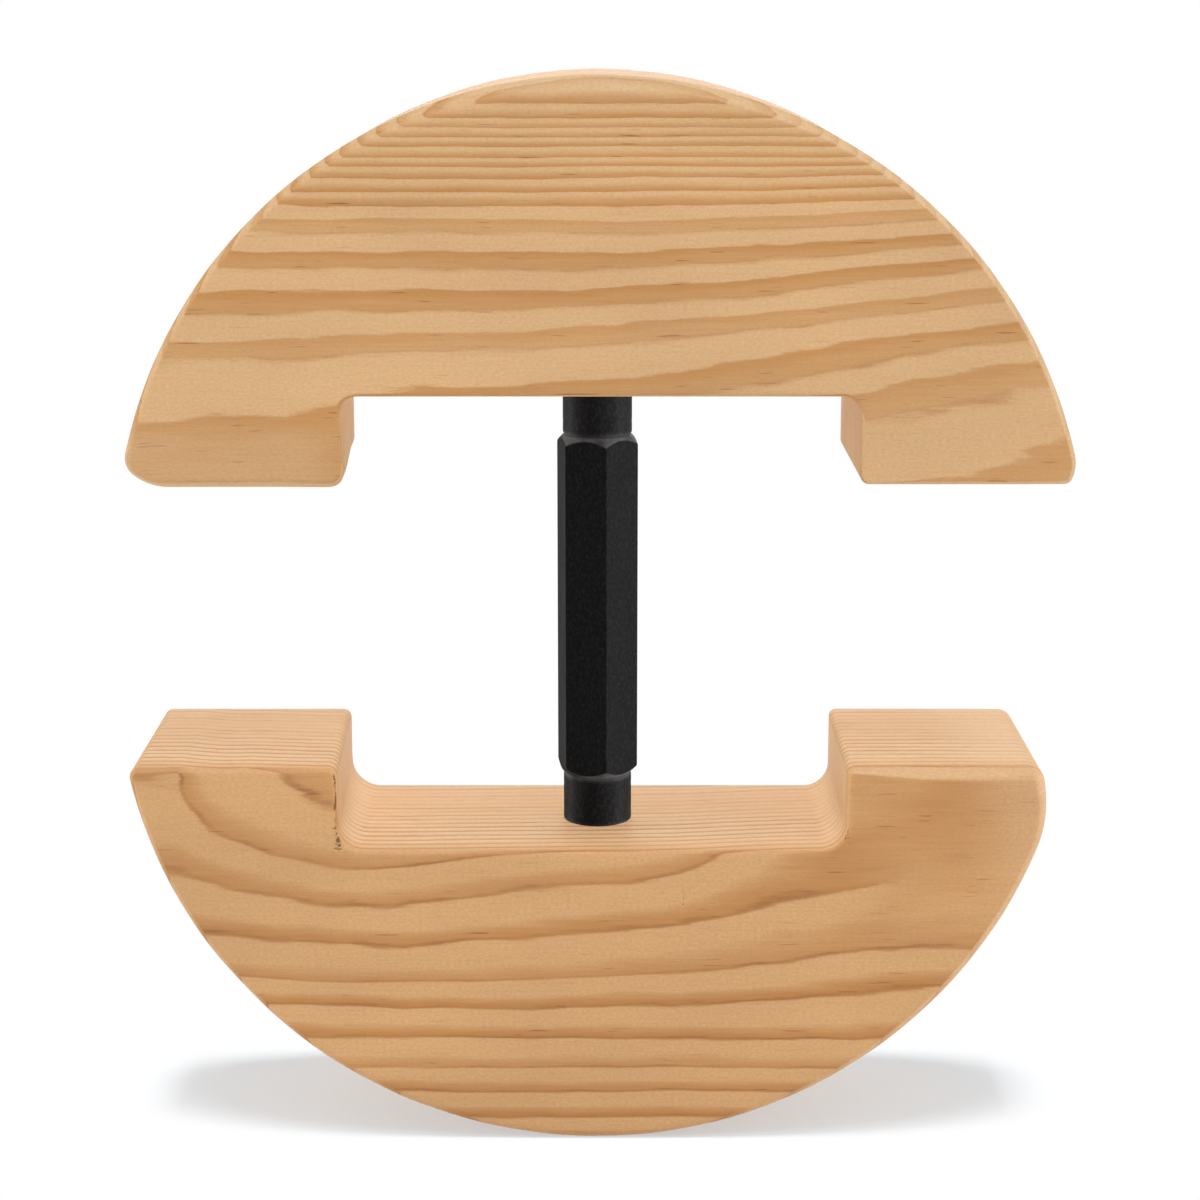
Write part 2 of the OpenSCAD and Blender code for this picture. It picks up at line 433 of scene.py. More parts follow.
def smooth_loop(values, width):
    """The mean of each value and its neighbours on a closed loop."""
    padded = np.concatenate([values[-width:], values, values[:width]])
    kernel = np.ones(2 * width + 1) / (2 * width + 1)
    return np.convolve(padded, kernel, mode="same")[width:-width]


print("a rise is", smooth_rise(0.5, 0, 1), "half-way up")

# %% Block surface
ALONG = 320
ACROSS = 48
ROUND_STEPS = 7
ROUNDNESS = 0.35
FLAT_STEPS = 6
RELAX_ROUNDS = 120
EDGE_SOFTEN = 12
WORN_SHARPNESS = 2.5
# The rim's arc has its centre this far below the feet, and the rasp's waves die out away from its top.
RIM_DROP = 14.3
RIM_TOP = 90
RASP_SPREAD = 62
RASP_SOFTEN = 3


def coons(outer, inner, left, right):
    """The patch between four border curves: both ruled surfaces added, less the plane through the corners.
    Then each inner point moves to the mean of its neighbours, over and over, to open the tight corners."""
    u = np.linspace(0, 1, outer.shape[0])[:, None, None]
    w = np.linspace(0, 1, left.shape[0])[None, :, None]
    between_long = (1 - w) * outer[:, None] + w * inner[:, None]
    between_ends = (1 - u) * left[None] + u * right[None]
    corners = ((1 - u) * ((1 - w) * outer[0] + w * inner[0])
               + u * ((1 - w) * outer[-1] + w * inner[-1]))
    patch = between_long + between_ends - corners
    for _ in range(RELAX_ROUNDS):
        neighbours = patch[:-2, 1:-1] + patch[2:, 1:-1] + patch[1:-1, :-2] + patch[1:-1, 2:]
        patch[1:-1, 1:-1] = neighbours / 4
    return patch


def border_strip(loop, front_radius, back_radius):
    """The strip's points, one profile for each outline point, and how much each place of a profile is rubbed.
    A broken edge is ROUNDNESS parts of a quarter circle, and a straight chamfer for the rest."""
    half = BLOCK_THICKNESS / 2
    quarter = np.linspace(0, np.pi / 2, ROUND_STEPS)
    straight = np.linspace(0, 1, ROUND_STEPS)
    outwards = ROUNDNESS * np.sin(quarter) + (1 - ROUNDNESS) * straight
    inwards = ROUNDNESS * (1 - np.cos(quarter)) + (1 - ROUNDNESS) * straight
    flat = np.linspace(0, 1, FLAT_STEPS + 2)[1:-1]
    inset = np.hstack([front_radius[:, None] * (1 - outwards), np.zeros((len(loop), FLAT_STEPS)),
                       back_radius[:, None] * (1 - outwards[::-1])])
    front_y = -half + front_radius[:, None] * inwards
    back_y = half - back_radius[:, None] * inwards[::-1]
    flat_y = front_y[:, -1:] + flat * (back_y[:, :1] - front_y[:, -1:])
    depth = np.hstack([front_y, flat_y, back_y])
    strip_x = loop[:, :1] - loop[:, 2:3] * inset
    strip_height = loop[:, 1:2] - loop[:, 3:4] * inset
    broken = np.clip(WORN_SHARPNESS * np.sin(2 * quarter), 0, 1)
    worn_and_lit = np.hstack([broken, np.zeros(FLAT_STEPS), broken])
    return np.stack([strip_x, depth, strip_height], axis=-1), worn_and_lit


def block_surface(left_half, right_half, edge_radius, wobble):
    """Points in (x, y, height), quads and edge shares of a block.
    edge_radius(x, region) gives the width of the broken edge, wobble(angle) moves the rim in or out."""
    rim_left, foot_left, notch_left = (other_side(part) for part in half_outline(**left_half))
    rim_right, foot_right, notch_right = half_outline(**right_half)
    outer = even_steps(np.vstack([rim_left, rim_right]), ALONG)
    inner = even_steps(np.vstack([notch_left, notch_right]), ALONG)
    left = even_steps(foot_left[::-1], ACROSS)
    right = even_steps(foot_right, ACROSS)
    loop = np.vstack([outer[:-1], right[:-1], inner[::-1][:-1], left[::-1][:-1]])
    lengths = [ALONG - 1, ACROSS - 1, ALONG - 1, ACROSS - 1]
    region = np.repeat(["rim", "right", "notch", "left"], lengths)
    front_radius, back_radius = edge_radius(loop[:, 0], region)
    front_radius = smooth_loop(front_radius, EDGE_SOFTEN)
    back_radius = smooth_loop(back_radius, EDGE_SOFTEN)
    angle = np.degrees(np.arctan2(loop[:, 1] + RIM_DROP, loop[:, 0]))
    rasped = np.where(region == "rim", wobble(angle), 0.0) * hump(angle, RIM_TOP, RASP_SPREAD) ** 0.5
    loop[:, :2] += loop[:, 2:] * smooth_loop(rasped, RASP_SOFTEN)[:, None]
    strip, worn_and_lit = border_strip(loop, front_radius, back_radius)
    worn_and_lit = worn_and_lit * (region != "notch")[:, None]

    ends = np.cumsum([0] + lengths)
    closed = np.vstack([strip, strip[:1]])
    caps = []
    for side in (0, -1):
        border = closed[:, side]
        caps.append(coons(border[ends[0]:ends[1] + 1], border[ends[2]:ends[3] + 1][::-1],
                          border[ends[3]:ends[4] + 1][::-1], border[ends[1]:ends[2] + 1]))
    points = np.vstack([strip.reshape(-1, 3), caps[0].reshape(-1, 3), caps[1].reshape(-1, 3)])
    strip_count = strip.shape[0] * strip.shape[1]
    cap_count = ALONG * ACROSS
    quads = np.vstack([grid_quads(strip.shape[0], strip.shape[1], close_rows=True),
                       grid_quads(ALONG, ACROSS, first=strip_count),
                       grid_quads(ALONG, ACROSS, first=strip_count + cap_count)])
    edge = np.concatenate([worn_and_lit.reshape(-1), np.zeros(2 * cap_count)])
    return points, quads, edge


print("a front has", ALONG * ACROSS, "points")

# %% [markdown]
# ## Growth rings
# Pine shows its rings as pale and darker bands. In a tree the rings are tubes round the pith, and a plank
# cuts through them. So each point of a block gets a ring number, worked out from its place: how many rings
# lie below it, bent where the real bands rise towards a foot or dip beside it. The material later turns the
# fraction of that number into a pale or dark tone, so a band on the front runs on over the edge and across
# the top. The lists give the heights of the bands near the middle of the front, in millimetres.

# %% Ring numbers of both blocks
# Below its even bands the upper block has a few wide ones, whose ring numbers aren't whole.
UPPER_LOW_Z = [-60, -5, 5.5, 23, 30.2, 39.5, 47.4]
UPPER_LOW_RINGS = [-3, -2, -1.76, -1.21, -0.76, 0, 0.72]
UPPER_BAND_Z = [49.3, 55.7, 61.5, 67, 71.1, 72.9, 75.3, 77, 78.4, 80.2, 81.6, 83.2, 84.6, 87.1, 92.0, 96]
UPPER_RING_DEPTH = 1.7
UPPER_RISE_START = 13
UPPER_RISE_BEND = 8
UPPER_RISE_REACH = 51
LOWER_BAND_Z = [-94.5, -90.2, -85.8, -81.2, -76.7, -71.2, -65.5, -60.2, -50.9, -42.5, -36.5, -30.0, -23.0,
                -16.0, -8.0, 2.0]
LOWER_FIRST_RING = -8
LOWER_RING_DEPTH = 2.3
# On the right, one of the lower block's bands fades out higher up, close to the next one.
LOWER_RIGHT_Z = [-60.2, -54.4, -52.9]
LOWER_RIGHT_RINGS = [0.0, -0.34, 0.0]


def upper_rings(x, y, z):
    """Bands lie flat near the top, rise towards the right foot and dip on the left, where the lowest one
    widens over the whole foot. Towards the back the number falls by one for each ring depth."""
    # How far a band has risen at the right foot: most for the low bands, nothing above a height of 77.
    least = 0.36 * np.clip(77 - z, 0, 30)
    steep = np.clip(15.4 - 0.58 * (z - 42), least, 25) - 2.0 * hump(z, 52, 5)
    # The rise bends up softly round its start and goes on as a straight slope.
    along = np.logaddexp(0, (x - UPPER_RISE_START) / UPPER_RISE_BEND)
    rise = UPPER_RISE_BEND / UPPER_RISE_REACH * along * steep
    # On the left, bands at the height of the foot dip in a straight slope and those above it a little.
    at_foot = smooth_rise(-z, -46.5, -38)
    shallow = 1.8 * smooth_rise(-x, -10, 35) * np.clip(1 - (z - 49) / 14, 0, 1)
    dip = at_foot * 0.105 * np.clip(-5 - x, 0, 80) + (1 - at_foot) * shallow
    rings = np.concatenate([UPPER_LOW_RINGS, np.arange(len(UPPER_BAND_Z)) + 1])
    number = np.interp(z - rise + dip, UPPER_LOW_Z + UPPER_BAND_Z, rings)
    # Over the left foot, rings below the first band are drawn close to it, which widens it.
    below = np.clip(0.1 - number, 0, 3)
    number = number + 0.8 * below * smooth_rise(-x, 20, 45)
    return number - (y + BLOCK_THICKNESS / 2) / UPPER_RING_DEPTH


def lower_rings(x, y, z):
    """Bands sag under the notch's left end, turn up at the left foot and rise to the right, where the
    topmost one widens over the whole foot. Towards the back the number falls by one for each ring depth."""
    sag = 4.8 * hump(z, -45, 13) * hump(x, -40, 25)
    # Bands turn up towards the left foot's outer corner, and right of it once more close below the tops.
    turn_up = 17.0 * np.exp((z + 25) / 12.9 - (np.maximum(x, -71) + 75) / 14.3)
    turn_up = turn_up + 3.0 * np.exp((z + 25) / 3.5) * smooth_rise(x, -66, -58)
    rise = 1.05 * smooth_rise(x, -5, 66) * np.clip((z + 72) / 2.9, 0, 20)
    level = z + sag - turn_up - rise
    number = np.interp(level, LOWER_BAND_Z, np.arange(len(LOWER_BAND_Z)) + LOWER_FIRST_RING)
    number = number + np.interp(level, LOWER_RIGHT_Z, LOWER_RIGHT_RINGS) * smooth_rise(x, 0, 40)
    # Over the right foot, rings above the last band are drawn close to it, which widens it.
    above = np.clip(number + 0.1, 0, 9)
    number = number - 0.88 * above * smooth_rise(x, 12, 45)
    return -number - (y + BLOCK_THICKNESS / 2) / LOWER_RING_DEPTH


print("the upper block has", len(UPPER_BAND_Z), "close bands and the lower one", len(LOWER_BAND_Z))

# %% [markdown]
# ## Bare pine
# The ring number becomes a colour in steps. Noise that is stretched along the grain bends it a little, its
# whole part picks how strong that ring is, and its fraction runs through a ramp from pale early wood to
# darker late wood. Fine fibres and short resin marks lie over it, and sanded edges are paler. The same
# pale colour is painted light on the lower notch's walls and partly a painted highlight at the top of the
# upper front. Behind the front the colour is paler and less orange: partly the tone of the sawn faces,
# partly a painted sheen as if the tops were lit from above. The same patterns roughen the surface through
# bump.

# %% Numbers of the pine
# Cells per metre along the grain and in the two directions across it.
SLOW_CELLS = (26, 75, 75)
QUICK_CELLS = (60, 420, 420)
FIBRE_CELLS = (70, 1900, 1900)
SPECK_CELLS = (1500, 2600, 2600)
DASH_CELLS = (130, 2300, 2300)
PATCH_CELLS = (20, 45, 45)
# How far the noise bends a ring, in rings, and how much it changes the tone.
SLOW_BEND = 0.55
QUICK_BEND = 0.30
FIBRE_CONTRAST = 0.55
SPECK_CONTRAST = 0.7
GRIT_SHARE = 0.8
# A ring's strength is the least one plus its own luck. Behind the front, luck also sets its line.
LEAST_RING = 0.68
RING_LUCK = 0.40
SAWN_LINE = 0.8
# The front's look turns into that of the sawn faces between these two depths, in metres.
SAWN_FROM = -0.019
SAWN_TO = -0.016
# Tone over one ring, as (share of its width, tone) with 0 for pale wood and 1 for late wood.
BANDED_STOPS = [(0.0, 0.0), (0.18, 0.03), (0.27, 0.40), (0.35, 0.74), (0.50, 0.76), (0.66, 1.0),
                (0.72, 0.95), (0.76, 0.05), (1.0, 0.0)]
LAPPED_STOPS = [(0.0, 0.0), (0.16, 0.2), (0.36, 0.58), (0.58, 0.95), (0.70, 1.1), (0.74, 0.06), (1.0, 0.0)]
SOFT_STOPS = [(0.0, 0.0), (0.28, 0.05), (0.42, 0.55), (0.56, 0.88), (0.68, 1.0), (0.73, 0.55),
              (0.79, 0.05), (1.0, 0.0)]
# The thin resin line at the sharp edge of a band, on a soft ring and on a lapped one.
LINE_STOPS = [(0.62, 0.0), (0.69, 1.0), (0.72, 1.0), (0.75, 0.0)]
LAPPED_LINE_STOPS = [(0.65, 0.0), (0.69, 0.5), (0.71, 0.5), (0.76, 0.0)]
# What noise makes of the line, the tone of larger patches, the grit and the resin marks.
BROKEN_STOPS = [(0.35, 0.1), (0.65, 0.6)]
DRIFT_STOPS = [(0.3, 0.93), (0.7, 1.06)]
GRIT_STOPS = [(0.25, 0.86), (0.75, 1.10)]
MARK_STOPS = [(0.68, 0.0), (0.73, 1.0)]
# Resin marks are strongest in late wood and rubbed edges on pale specks, each with a least strength.
LEAST_MARK = 0.15
MARK_IN_BAND = 0.75
LEAST_RUB = 0.15
RUB_ON_SPECK = 0.6
# How far bands, specks and marks stand out or lie deeper, next to the fibres.
BAND_RELIEF = -0.5
SPECK_RELIEF = 0.5
MARK_RELIEF = -0.6
PINE_GLOSS = 0.3
FAINT_BAND = (0.45, 0.45, 0.45, 1)
SCAR_BROWN = (0.20, 0.095, 0.035, 1)
SCAR_SHARPNESS = 6.0
# Rings of the upper block with a higher number than this fade in on one side.
UPPER_BANDED = 4.5
# In each look the fourth colour is for rubbed edges and is also painted light. The fifth multiplies the faces
# behind the front, and is partly their own tone and partly a painted sheen.
UPPER_LOOK = dict(pale=(0.69, 0.428, 0.212, 1), late=(0.535, 0.258, 0.082, 1), resin=(0.30, 0.12, 0.035, 1),
                  worn_and_lit=(0.80, 0.58, 0.36, 1), sawn_tone_and_sheen=(1.0, 1.02, 1.04, 1))
LOWER_LOOK = dict(pale=(0.65, 0.372, 0.168, 1), late=(0.485, 0.218, 0.066, 1), resin=(0.27, 0.10, 0.03, 1),
                  worn_and_lit=(0.77, 0.52, 0.30, 1), sawn_tone_and_sheen=(1.03, 1.13, 1.24, 1))
print("pale wood", UPPER_LOOK["pale"][:3], "above and", LOWER_LOOK["pale"][:3], "below")

# %% Pine material


def ring_tones(tree, bent, banded_below):
    """For a bent ring number: how dark the wood is, the thin line at its band's edge, and the ring's luck."""
    raised = math_node(tree, "ADD", bent, 0.5)
    number = math_node(tree, "FLOOR", raised)
    fraction = math_node(tree, "SUBTRACT", raised, number)
    luck = node(tree, "ShaderNodeTexWhiteNoise", {"W": number}, noise_dimensions="1D").outputs["Value"]
    if banded_below is None:
        band = ramp(tree, fraction, SOFT_STOPS)
        line = ramp(tree, fraction, LINE_STOPS)
    else:
        turned_over = math_node(tree, "SUBTRACT", 1.0, fraction)
        close = math_node(tree, "GREATER_THAN", number, banded_below)
        banded = ramp(tree, fraction, BANDED_STOPS)
        band = mix_colour(tree, close, banded, ramp(tree, turned_over, LAPPED_STOPS))
        line = ramp(tree, turned_over, LAPPED_LINE_STOPS)
    force = math_node(tree, "MULTIPLY_ADD", luck, RING_LUCK, LEAST_RING)
    return math_node(tree, "MULTIPLY", band, force), line, luck


def pine(name, pale, late, resin, worn_and_lit, sawn_tone_and_sheen, banded_below=None):
    """Bare sanded pine from Object coordinates and the piece's attributes: ring (the ring number), edge (how
    much of the pale colour it gets: rubbed edges, painted light on the lower notch's walls and a partly
    painted highlight at the top of the upper front), scar (how far it is torn) and faint (how weak its bands
    are).
    Rings up to banded_below have two clear edges, and the others fade in on one side.
    Behind the front, where the saw cut across the rings, the colour is multiplied by a paler, less orange
    tone: partly the tone of those faces, partly a painted sheen as if the tops were lit from above."""
    material, tree, shader, place = new_material(name)
    slow = stretched_noise(tree, place, SLOW_CELLS, detail=2.0)
    quick = stretched_noise(tree, place, QUICK_CELLS, detail=4.0, roughness=0.65)
    fibre = stretched_noise(tree, place, FIBRE_CELLS, detail=3.0, roughness=0.65)
    speck = stretched_noise(tree, place, SPECK_CELLS, detail=2.0)
    dash = stretched_noise(tree, place, DASH_CELLS, detail=1.0)
    patch = stretched_noise(tree, place, PATCH_CELLS, detail=2.0)
    depth = node(tree, "ShaderNodeSeparateXYZ", {"Vector": place}).outputs["Y"]
    sawn_range = {"Value": depth, "From Min": SAWN_FROM, "From Max": SAWN_TO}
    inside = node(tree, "ShaderNodeMapRange", sawn_range).outputs[0]
    faint = attribute(tree, "faint")

    bent = swing(tree, slow, SLOW_BEND, attribute(tree, "ring"))
    bent = swing(tree, quick, QUICK_BEND, bent)
    band, line, luck = ring_tones(tree, bent, banded_below)
    band = mix_colour(tree, faint, band, FAINT_BAND)
    line = math_node(tree, "MULTIPLY", line, math_node(tree, "SUBTRACT", 1.0, faint))
    band = swing(tree, fibre, FIBRE_CONTRAST, band)
    rough = math_node(tree, "MULTIPLY", math_node(tree, "SUBTRACT", speck, 0.5), SPECK_CONTRAST)
    band = math_node(tree, "MULTIPLY_ADD", rough, band, band, clamp=True)

    colour = mix_colour(tree, band, pale, late)
    broken = ramp(tree, quick, BROKEN_STOPS)
    broken = mix_colour(tree, inside, broken, math_node(tree, "MULTIPLY", luck, SAWN_LINE))
    colour = mix_colour(tree, math_node(tree, "MULTIPLY", line, broken), colour, resin)
    colour = mix_colour(tree, 1.0, colour, ramp(tree, patch, DRIFT_STOPS), "MULTIPLY")
    colour = mix_colour(tree, GRIT_SHARE, colour, ramp(tree, speck, GRIT_STOPS), "MULTIPLY")
    # Behind the front the colour is made paler and less orange: partly the tone of the sawn faces, partly a
    # painted sheen as if the tops were lit from above.
    colour = mix_colour(tree, inside, colour, sawn_tone_and_sheen, "MULTIPLY")
    in_band = math_node(tree, "MULTIPLY_ADD", band, MARK_IN_BAND, LEAST_MARK)
    marks = math_node(tree, "MULTIPLY", ramp(tree, dash, MARK_STOPS), in_band)
    colour = mix_colour(tree, marks, colour, resin)
    grainy = math_node(tree, "MULTIPLY_ADD", speck, RUB_ON_SPECK, LEAST_RUB)
    rubbed_and_lit = math_node(tree, "MULTIPLY", attribute(tree, "edge"), grainy)
    # The pale colour: rubbed edges, painted light on the lower notch's walls, and a partly painted highlight
    # at the top of the upper front.
    colour = mix_colour(tree, rubbed_and_lit, colour, worn_and_lit)
    torn = math_node(tree, "ADD", attribute(tree, "scar"), speck)
    torn = math_node(tree, "SUBTRACT", torn, 1.0)
    torn = math_node(tree, "MULTIPLY", torn, SCAR_SHARPNESS, clamp=True)
    colour = mix_colour(tree, torn, colour, SCAR_BROWN)

    relief = math_node(tree, "MULTIPLY_ADD", band, BAND_RELIEF, fibre)
    relief = math_node(tree, "MULTIPLY_ADD", speck, SPECK_RELIEF, relief)
    relief = math_node(tree, "MULTIPLY_ADD", marks, MARK_RELIEF, relief)
    bump = node(tree, "ShaderNodeBump", {"Strength": 0.25, "Distance": 0.0004, "Height": relief})
    tree.links.new(colour, shader.inputs["Base Color"])
    tree.links.new(math_node(tree, "MULTIPLY_ADD", fibre, 0.2, 0.5), shader.inputs["Roughness"])
    tree.links.new(bump.outputs[0], shader.inputs["Normal"])
    shader.inputs["Specular IOR Level"].default_value = PINE_GLOSS
    return material


upper_pine = pine("upper_pine_bare", banded_below=UPPER_BANDED, **UPPER_LOOK)
lower_pine = pine("lower_pine_bare", **LOWER_LOOK)
print("two pine finishes")

# %% [markdown]
# ## Upper block
# The upper block sits on the upper stud. When the tool is closed, its feet are 48 mm above those of the
# lower block. Its edge is broken most along the top and least at the right foot and the notch, its rim shows
# the small flats of the rasp, and the wall of its left foot leans. The left foot is rubbed pale, and a
# crescent
# at the top of the front is paler: partly sanded, partly a painted highlight where the front turns up to the
# light.

# %% Make the upper block
WALL_X = -44
WALL_WIDTH = 6
UPPER_LEAN = 1.6


def upper_edges(x, region):
    """Width of the broken edge at the front and the back: most along the top of the rim, least at the right
    foot and the notch."""
    rim = 0.9 + 1.3 * hump(x, -5, 45)
    radius = np.select([region == "rim", region == "left", region == "right"], [rim, 1.5, 0.6], 0.6)
    return radius, np.maximum(radius, 1.0)


def upper_wobble(angle):
    """Rasp flats along the rim: waves of up to a twentieth of a millimetre."""
    return 0.03 * np.sin(angle * 0.5) + 0.02 * np.sin(angle * 1.3 + 1.0) - 0.05


def near_left_wall(x, height):
    """1 on the left foot's inner wall, fading out over the foot and up to the notch's corner."""
    return hump(x, WALL_X, WALL_WIDTH) * (1 - smooth_rise(height, 8, 18))


def upper_pale_and_highlight(x, y, height):
    """How pale the wood is beside its edges: rubbed on the left foot, and in a crescent at the top of the
    front that is partly sanding and partly a painted highlight.
    """
    foot = 0.45 * smooth_rise(-x, 40, 50) * (1 - smooth_rise(height, 7, 13))
    # Partly sanding, partly a painted highlight where the front turns up to the light.
    crown_sanding_and_highlight = 0.75 * smooth_rise(height, 63.4, 64.6) * smooth_rise(-y, 14, 18)
    return np.maximum(foot, crown_sanding_and_highlight)


points, quads, edge = block_surface(UPPER_LEFT, UPPER_RIGHT, upper_edges, upper_wobble)
lean = near_left_wall(points[:, 0], points[:, 2])
points[:, 0] += UPPER_LEAN * lean * smooth_rise(-points[:, 1], -20, 20)
edge *= 0.15 + 0.85 * smooth_rise(points[:, 0], -10, 50)
edge = np.maximum(edge, upper_pale_and_highlight(*points.T))
points[:, 2] += FOOT_Z
nothing = np.zeros(len(points))
make_piece("upper_wood", points, quads, upper_pine, "upper", "upper_block",
           {"ring": upper_rings(*points.T), "edge": edge, "scar": nothing, "faint": nothing})

# %% [markdown]
# ## Lower block
# The lower block is the upper one turned over, but its right half is a little narrower, its right foot is
# well rounded in front and its left foot nearly sharp. Its right corner is pale, and each wall of its notch
# gets painted light: a paler colour, since little light reaches it. The bands fade below the right foot and
# towards the back of the tops. The saw tore the wood in a few places.

# %% Make the lower block
LOWER_LEAN = 0.9
SCAR_DEPTH = 0.25
NOTCH_MIDDLE = -0.9


def lower_edges(x, region):
    """Width of the broken edge: over two at the right foot's front, one along the rim, less elsewhere."""
    rim = 0.9 + 0.5 * smooth_rise(x, 20, 60)
    right = 0.8 + 1.4 * smooth_rise(x, 46, 52)
    radius = np.select([region == "rim", region == "right", region == "left"], [rim, right, 0.8], 0.5)
    return radius, np.maximum(rim, 1.0) * (region == "rim") + 0.9 * (region != "rim")


def lower_wobble(angle):
    """Rasp flats along the rim, and one longer flat low on the left."""
    waves = 0.03 * np.sin(angle * 0.6 + 2.0) + 0.02 * np.sin(angle * 1.7)
    return waves - 0.05 - 0.25 * hump(angle, 138, 5)


def lower_pale_and_lit(x, y, z):
    """How far the colour is paled: at the right corner, and on each wall of the notch, where the paler colour
    is painted light, as little light reaches there.
    """
    corner = 0.85 * smooth_rise(x + 0.3 * z, 48, 66) * smooth_rise(z, -60, -40)
    from_middle = np.abs(x - NOTCH_MIDDLE)
    # Each wall of the notch is painted pale: painted light, as little light reaches it.
    painted_wall_light = smooth_rise(from_middle, 39, 42.5) * (from_middle < 46) * smooth_rise(-z, 25, 26)
    painted_wall_light = painted_wall_light * smooth_rise(np.abs(y), 19.6, 18.6)
    return np.maximum(corner, painted_wall_light)


def lower_faint(x, y, z):
    """How weak the bands are: below the right foot on the front, and on the tops towards the back."""
    foot = smooth_rise(x, 40, 56) * hump(z, -43, 7) * smooth_rise(-y, 17, 19)
    behind = smooth_rise(y, -8, 8) * smooth_rise(y, 19.5, 18.5)
    return np.maximum(foot, 0.65 * behind * smooth_rise(z, -40, -38.5))


def lower_scars(x, y, z):
    """How far the wood is torn: a slit along the left foot's inner edge with rough fibres below it, fewer
    rough fibres along the right foot's inner edge, and a short split in the front."""
    slit_x = -44.55 + 0.35 * np.sin(np.pi * np.clip((z + 31.6) / 7.2, 0, 1))
    slit = hump(x, slit_x, 0.36) * plateau(z, -31.9, -31.0, -25.0, -24.4)
    rough_left = 0.60 * hump(x, -44.2, 1.5) * plateau(z, -39.5, -38.0, -33.0, -32.0)
    rough_right = 0.55 * hump(x, 42.3, 0.9) * plateau(z, -38.5, -36.5, -31.0, -28.5)
    split = 0.66 * hump(x, 14.7, 0.32) * plateau(z, -49.9, -49.2, -45.4, -44.7)
    torn = np.maximum(np.maximum(slit, rough_left), np.maximum(rough_right, split))
    return torn * (1 - smooth_rise(y, -19.9, -19.3))


points, quads, edge = block_surface(LOWER_LEFT, LOWER_RIGHT, lower_edges, lower_wobble)
lean = near_left_wall(points[:, 0], points[:, 2])
points[:, 0] -= LOWER_LEAN * lean * smooth_rise(points[:, 1], -20, 20)
points[:, 2] = -FOOT_Z - points[:, 2]
edge *= 0.2 + 0.8 * smooth_rise(points[:, 0], 10, 50)
# The pale share also carries painted light on each wall of the notch.
edge = np.maximum(edge, lower_pale_and_lit(*points.T))
faint = lower_faint(*points.T)
scar = lower_scars(*points.T)
points[:, 1] += SCAR_DEPTH * scar
lower_block = make_piece("lower_wood", points, quads, lower_pine, "lower", "lower_block",
                         {"ring": lower_rings(*points.T), "edge": edge, "scar": scar, "faint": faint})

# %% [markdown]
# ## Light in the lower notch
# The notch's walls face each other, and little light reaches them. A lamp on each side brightens them: it
# casts no shadow, so its light passes through the nearer foot, and light linking keeps it on this block.

# %% Light the lower notch
WALL_LAMP = dict(width=0.1, height=0.2, watts=1.4, aim=(0.0, 0.0, -0.03))

wall_lamps = [soft_lamp("left_wall_fill", (-1.0, 0.08, -0.02), **WALL_LAMP),
              soft_lamp("right_wall_fill", (1.0, 0.08, -0.02), **WALL_LAMP)]
for lamp in wall_lamps:
    lights_only(lamp, lower_block)
print(len(wall_lamps), "lamps for the notch walls")

# %% [markdown]
# ## Metals
# The sleeve and both collars are satin black. Paint or oxide is never quite even: fine specks change its
# gloss, and along sharp edges it is rubbed to a dark grey. On the sleeve's turned cones that grey is also a
# painted sheen, lighter than rubbed metal alone and a little blue against the wood's warm reflection.
# The studs are zinc plated and the inserts are turned brass.

# %% Metal finishes
BLACK = (0.0062, 0.0062, 0.0064, 1)
BLACK_SPECK = (0.0155, 0.0155, 0.0160, 1)
# Grey of rubbed metal. On the sleeve's cones it is also a painted sheen, tinted blue against the wood's warm
# reflection.
RUBBED_GREY_AND_SHEEN = (0.115, 0.118, 0.126, 1)
BLACK_GLOSS = 0.012
# Cells per metre: for the black's specks and clouds, and for a bare metal's clouds.
BLACK_SPECK_CELLS = (2600, 2600, 1500)
BLACK_CLOUD_CELLS = (220, 220, 90)
METAL_CLOUD_CELLS = (250, 250, 250)


def black_steel(name):
    """Satin black with fine specks in gloss and height, greyer where the edge attribute is 1: rubbed metal,
    and on the sleeve's cones also a painted sheen.
    """
    material, tree, shader, place = new_material(name)
    speck = stretched_noise(tree, place, BLACK_SPECK_CELLS, detail=3.0)
    cloud = stretched_noise(tree, place, BLACK_CLOUD_CELLS, detail=3.0)
    patchy = ramp(tree, cloud, [(0.35, 0.25), (0.65, 1.0)])
    rub_and_sheen = math_node(tree, "MULTIPLY", attribute(tree, "edge"), patchy)
    colour = mix_colour(tree, ramp(tree, speck, [(0.45, 0.0), (0.8, 1.0)]), BLACK, BLACK_SPECK)
    colour = mix_colour(tree, rub_and_sheen, colour, RUBBED_GREY_AND_SHEEN)
    bump = node(tree, "ShaderNodeBump", {"Strength": 0.2, "Distance": 0.0001, "Height": speck})
    tree.links.new(colour, shader.inputs["Base Color"])
    tree.links.new(math_node(tree, "MULTIPLY_ADD", cloud, 0.15, 0.38), shader.inputs["Roughness"])
    tree.links.new(bump.outputs[0], shader.inputs["Normal"])
    shader.inputs["Specular IOR Level"].default_value = BLACK_GLOSS
    return material


